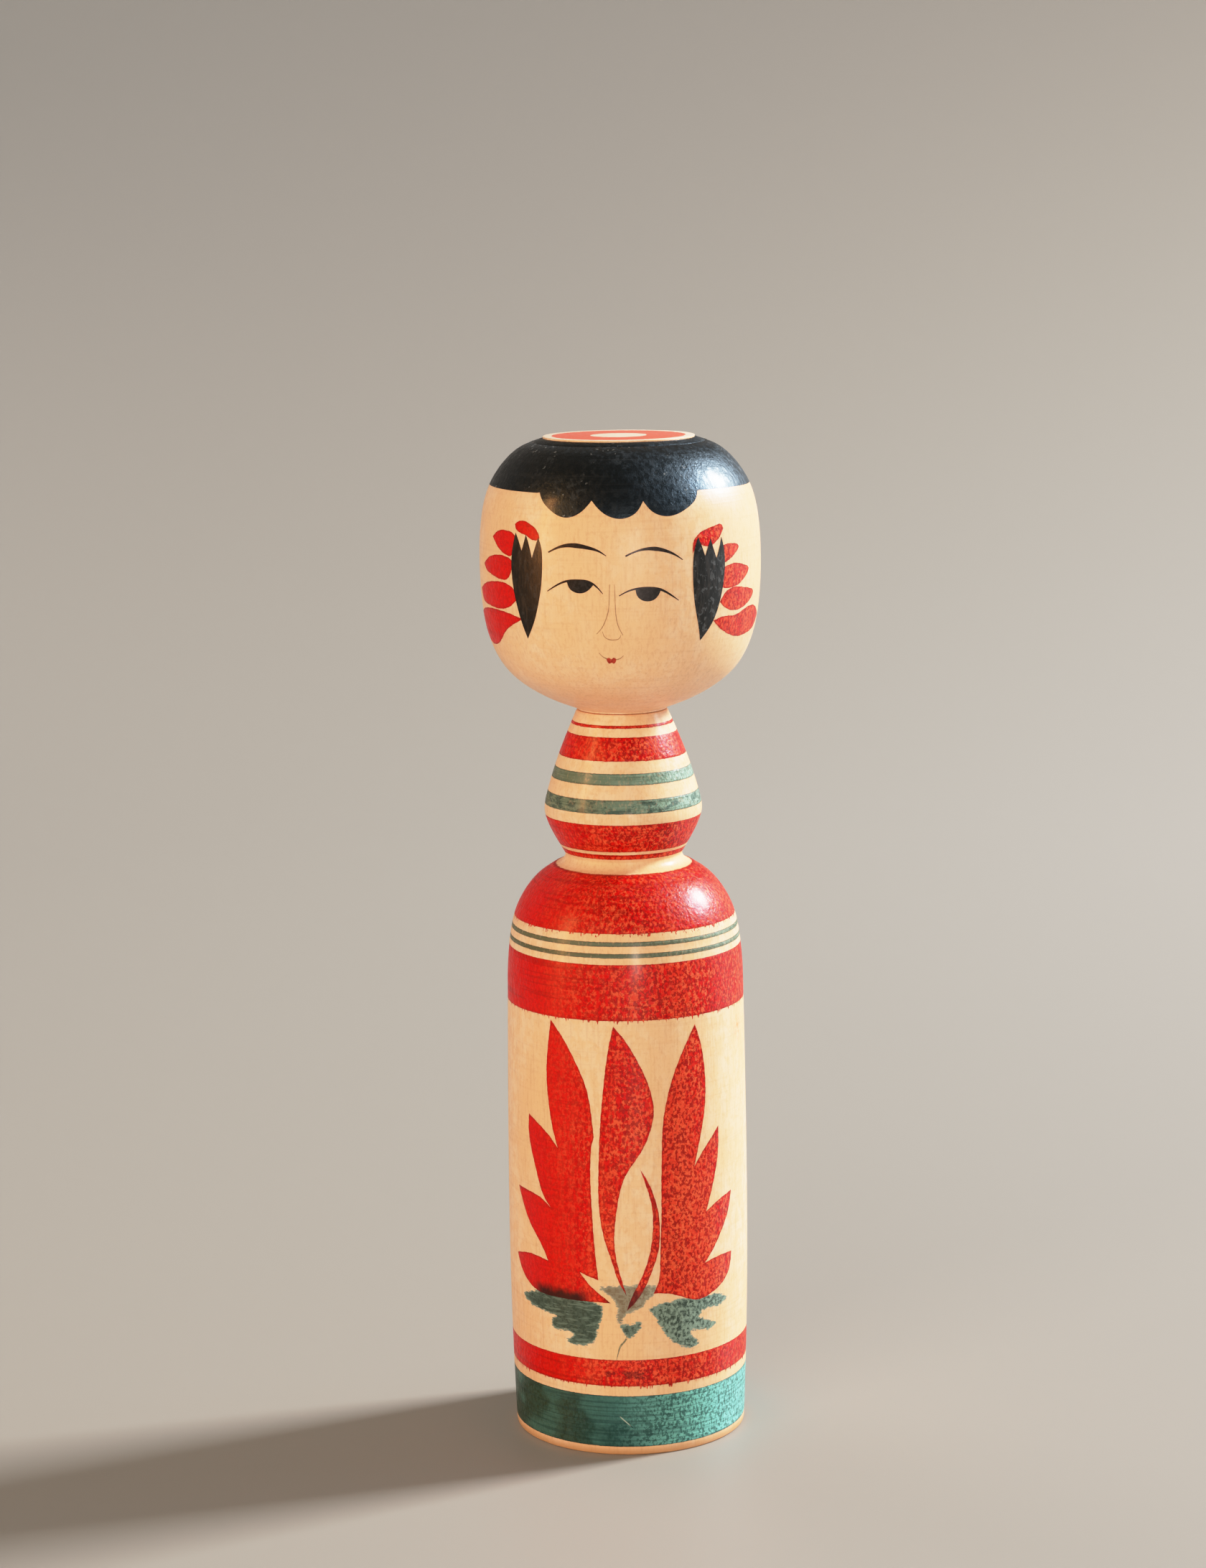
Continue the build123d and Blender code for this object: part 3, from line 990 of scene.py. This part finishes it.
FLOWER = {
    "flower_left": [
        [(-38.4, 106.4), (-31.6, 102.5), (-24.9, 97.0), (-20.4, 92.2), (-18.1, 88.0), (-16.9, 83.7)],
        [(-15.9, 79.0), (-17.2, 76.4)],
        [(-17.3, 76.0), (-17.8, 71.1), (-17.6, 64.8), (-17.0, 58.5), (-16.1, 51.4)],
        [(-14.6, 43.9), (-19.0, 44.6)],
        [(-23.8, 45.5), (-19.1, 42.6)],
        [(-14.3, 40.5), (-11.0, 39.2)],
        [
            (-8.9, 38.3), (-16.8, 38.4), (-25.1, 38.3), (-34.0, 38.3), (-41.9, 38.3), (-49.8, 38.7),
            (-57.9, 40.5), (-63.4, 43.0),
        ],
        [(-67.0, 46.0), (-53.2, 47.4)],
        [(-41.5, 46.9), (-45.7, 50.4), (-54.1, 55.1), (-59.7, 59.2)],
        [(-64.1, 63.2), (-53.6, 62.9), (-44.1, 61.8)],
        [(-38.9, 60.0), (-44.0, 63.0), (-48.3, 68.1), (-52.5, 74.0), (-54.3, 78.6)],
        [(-53.9, 82.1), (-45.4, 79.9), (-39.2, 77.7)],
        [(-34.8, 75.3), (-38.1, 80.9), (-40.2, 87.0), (-41.2, 93.3), (-40.3, 99.6)],
    ],
    "flower_middle": [
        [
            (-6.1, 106.0), (-1.2, 103.0), (4.8, 97.9), (9.2, 93.1), (11.9, 88.4), (12.6, 85.2),
            (11.3, 81.4), (8.1, 77.1), (3.4, 73.3), (-0.4, 70.4), (-3.3, 66.7), (-5.2, 61.9),
            (-6.4, 57.2), (-6.7, 53.2), (-5.9, 49.3), (-4.1, 45.3),
        ],
        [
            (-1.2, 40.2), (-4.9, 43.7), (-7.9, 48.5), (-10.9, 53.2), (-13.1, 58.6), (-13.9, 63.4),
            (-13.9, 68.9), (-13.4, 76.0), (-12.7, 82.3), (-11.6, 88.5), (-10.0, 95.6), (-8.0, 101.8),
        ],
    ],
    "flower_thin": [
        [
            (5.8, 71.3), (9.4, 68.1), (12.5, 64.0), (14.3, 60.0), (14.8, 56.0), (14.1, 51.3),
            (11.3, 46.7), (7.3, 42.0), (3.4, 38.9),
        ],
        [
            (-1.3, 36.4), (1.1, 39.8), (5.0, 43.7), (8.2, 47.6), (10.6, 52.3), (11.5, 57.0),
            (11.2, 61.7), (8.9, 66.5),
        ],
    ],
    "flower_right": [
        [(34.6, 105.1), (37.5, 100.9), (39.6, 95.3), (40.3, 89.7), (39.3, 83.5), (36.6, 77.5)],
        [(32.9, 70.4), (38.5, 74.1), (43.8, 76.8)],
        [(48.4, 79.1), (48.0, 73.2), (45.3, 67.1)],
        [(39.6, 58.8), (46.8, 60.6)],
        [(58.1, 62.1), (55.1, 57.2), (49.0, 52.4), (43.1, 48.6)],
        [(38.5, 46.2), (46.5, 46.9)],
        [
            (58.0, 46.9), (55.8, 42.6), (49.9, 39.8), (42.9, 38.3), (34.8, 37.5), (25.8, 38.9),
            (18.3, 40.2),
        ],
        [
            (11.4, 40.5), (14.0, 43.4), (14.8, 47.3), (15.2, 53.7), (15.7, 60.0), (15.8, 67.1),
            (16.2, 74.1), (16.8, 81.1), (18.5, 86.5), (21.9, 92.6), (27.1, 98.6),
        ],
    ],
}
RED_FLOWER = flower_material()
for k, (name, stretches) in enumerate(FLOWER.items()):
    outline = outline_of(stretches, BODY_OUT, 0.4, rough=0.05, seed=k + 3)
    film(name, outline, TRUNK, RED_FLOWER, "body", lift=LIFT + 0.03)

LEAVES = {
    "leaf_left": [
        [
            (-61.4, 36.4), (-52.4, 38.2), (-42.9, 38.9), (-34.0, 38.8), (-25.1, 38.6), (-16.8, 38.4),
            (-13.9, 37.8), (-12.9, 35.6), (-14.6, 32.8), (-15.8, 29.9), (-17.9, 28.2), (-23.7, 27.3),
            (-29.8, 27.5),
        ],
        [(-31.6, 28.2), (-29.0, 28.9)],
        [(-27.9, 29.6), (-31.0, 30.4), (-35.3, 30.2)],
        [(-39.9, 30.8), (-39.8, 32.2)],
        [(-38.0, 33.7), (-43.2, 33.9), (-50.1, 34.3), (-58.2, 35.2)],
    ],
    "leaf_fan": [
        [(-14.3, 42.1), (-8.8, 42.5), (-1.1, 42.6), (6.6, 42.7)],
        [(13.1, 42.2), (11.9, 40.7), (8.0, 38.8), (4.9, 36.9), (1.0, 36.2), (-2.8, 35.0), (-3.8, 33.4)],
        [(-5.3, 33.0), (-5.9, 35.0), (-5.4, 36.4), (-6.3, 38.2), (-8.3, 39.7), (-12.0, 40.8)],
    ],
    "leaf_small": [
        [(-4.8, 33.7), (0.2, 33.0), (5.2, 33.5)],
        [(5.5, 32.3), (3.2, 31.0), (0.1, 29.6), (-2.9, 31.0)],
    ],
    "leaf_right": [
        [(9.2, 36.6), (12.7, 37.5), (20.7, 38.2), (29.3, 38.4), (38.7, 37.9), (49.8, 37.2)],
        [(54.0, 35.9), (49.8, 34.8), (41.8, 34.8), (35.9, 34.0)],
        [(35.1, 32.9), (39.6, 31.9)],
        [(45.8, 30.4), (42.7, 29.4), (34.6, 30.1)],
        [(30.0, 29.7), (31.8, 28.2)],
        [(35.2, 27.0), (33.6, 26.0), (29.0, 26.0), (23.0, 27.3), (17.3, 30.1), (14.1, 33.0)],
    ],
}
LEAF_GREEN = leaf_material("leaf_green", 0.98)
FAN_GREEN = leaf_material("fan_green", 0.8)
for k, (name, stretches) in enumerate(LEAVES.items()):
    outline = outline_of(stretches, BODY_OUT, 0.3, rough=0.12, seed=k + 11, grow=0.3)
    film(name, outline, TRUNK, FAN_GREEN if name == "leaf_fan" else LEAF_GREEN, "body", grid=0.5)
STEM_SPINE = [(-1.0, 30.4), (-2.2, 29.0), (-4.2, 27.8), (-5.4, 26.2), (-6.4, 24.2)]
STEM = stroke(STEM_SPINE, [0.6, 0.35, 0.5, 0.25, 0.15], BODY_OUT)
STEM_INK = ink_material("stem_ink", (0.16, 0.16, 0.10), (0.34, 0.30, 0.18))
film("leaf_stem", STEM, TRUNK, STEM_INK, "body", grid=9)

# ---- stage, lights and camera


FLOOR_GREY = (0.33, 0.325, 0.32, 1)
LAMP_AIM = 0.7  # lamps point at this share of the doll's height
ROOM_LIGHT = (1.0, 0.82, 0.62, 1)
ROOM_STRENGTH = 0.27


def stage_floor():
    """A pale floor that rises slowly all round, so that no horizon shows."""
    s = Shader("plain_pale_floor")
    s.finish(FLOOR_GREY, 0.5)
    flat, far, high = 0.8, 3.4, 2.6  # radius of the flat part, radius and height of the rim
    turns = np.radians(np.linspace(-90, 0, 40))
    sweep = [(flat + (far - flat) * math.cos(t), high + high * math.sin(t)) for t in turns]
    count = 96
    vertices = [
        (r * math.cos(2 * math.pi * k / count), r * math.sin(2 * math.pi * k / count), z)
        for r, z in sweep
        for k in range(count)
    ]
    faces = [tuple(range(count))]
    for ring in range(len(sweep) - 1):
        low = ring * count
        for k in range(count):
            here, after = low + k, low + (k + 1) % count
            faces.append((here, here + count, after + count, after))
    mesh = bpy.data.meshes.new("floor")
    mesh.from_pydata(vertices, [], faces)
    mesh.shade_smooth()
    mesh.materials.append(s.material)
    floor = bpy.data.objects.new("floor", mesh)
    bpy.context.scene.collection.objects.link(floor)


def softbox(name, azimuth, elevation, distance, size, power, colour, mirrored=True, lit=True):
    """An area lamp aimed at the doll, at degrees from the front towards +X and above the level.

    Distance and size are in metres, and power in watts. A lamp that isn't mirrored leaves no
    highlight, and one that isn't lit leaves only a highlight.
    """
    light = bpy.data.lights.new(name, "AREA")
    light.shape = "RECTANGLE"
    light.size, light.size_y = size
    light.energy = power
    light.color = colour
    lamp = bpy.data.objects.new(name, light)
    lamp.visible_glossy = mirrored
    lamp.visible_diffuse = lit
    middle = Vector((0, 0, DOLL_TOP * LAMP_AIM * MM))
    a, e = math.radians(azimuth), math.radians(elevation)
    away = Vector((math.sin(a) * math.cos(e), -math.cos(a) * math.cos(e), math.sin(e)))
    lamp.location = middle + away * distance
    lamp.rotation_euler = (-away).to_track_quat("-Z", "Y").to_euler()
    bpy.context.scene.collection.objects.link(lamp)


def lights():
    softbox("key", 112, 31, 2.6, (0.5, 0.5), 138, (1.0, 0.95, 0.88))
    softbox("front", -26, 14, 1.4, (1.0, 0.9), 15, (1.0, 0.77, 0.54), mirrored=False)
    softbox("back", 225, 25, 1.8, (1.0, 1.0), 5, (1.0, 0.90, 0.78), mirrored=False)
    softbox("left_window", -64, 12, 1.5, (0.22, 1.1), 30, (1.0, 0.40, 0.13), lit=False)
    softbox("middle_window", 10, -1, 1.5, (0.12, 0.4), 18, (1.0, 0.76, 0.66), lit=False)
    softbox("right_window", 106, 31, 2.6, (1.1, 0.8), 165, (0.60, 0.80, 1.0), lit=False)
    world = bpy.data.worlds.new("studio")
    bpy.context.scene.world = world
    world.use_nodes = True
    background = world.node_tree.nodes["Background"]
    background.inputs["Color"].default_value = ROOM_LIGHT
    background.inputs["Strength"].default_value = ROOM_STRENGTH


SHOULDER_WHITE = 3.2  # scene brightness shown as white
SHOULDER = ((0.3, 0.3), (0.6, 0.6), (0.95, 0.82), (1.5, 0.94), (2.2, 0.985))  # (scene, shown)


def film_response():
    """Plain colours with a soft shoulder, so that bright wood goes cream before it clips."""
    view = bpy.context.scene.view_settings
    view.view_transform = "Standard"
    view.use_curve_mapping = True
    mapping = view.curve_mapping
    mapping.white_level = (SHOULDER_WHITE,) * 3
    combined = mapping.curves[3]
    for light, shown in SHOULDER:
        combined.points.new(light / SHOULDER_WHITE, shown)
    mapping.update()


CAMERA_DISTANCE = 0.830  # from the doll's axis, along the table
CAMERA_HEIGHT = 0.3017
CAMERA_PITCH = 9.752  # degrees downwards, then to the left, then clockwise
CAMERA_YAW = 0.331
CAMERA_ROLL = 0.771
LENS = 80.31


def camera():
    pitch, yaw, roll = (math.radians(a) for a in (CAMERA_PITCH, CAMERA_YAW, CAMERA_ROLL))
    ahead = Vector((-math.sin(yaw) * math.cos(pitch), math.cos(yaw) * math.cos(pitch), -math.sin(pitch)))
    side = Vector((math.cos(yaw), math.sin(yaw), 0))
    above = side.cross(ahead)
    right = side * math.cos(roll) - above * math.sin(roll)
    up = above * math.cos(roll) + side * math.sin(roll)
    data = bpy.data.cameras.new("camera")
    data.lens = LENS
    data.clip_start, data.clip_end = 0.05, 20
    view = bpy.data.objects.new("camera", data)
    view.matrix_world = Matrix((right, up, -ahead)).transposed().to_4x4()
    view.location = (0, -CAMERA_DISTANCE, CAMERA_HEIGHT)
    bpy.context.scene.collection.objects.link(view)
    bpy.context.scene.camera = view


stage_floor()
lights()
camera()
film_response()
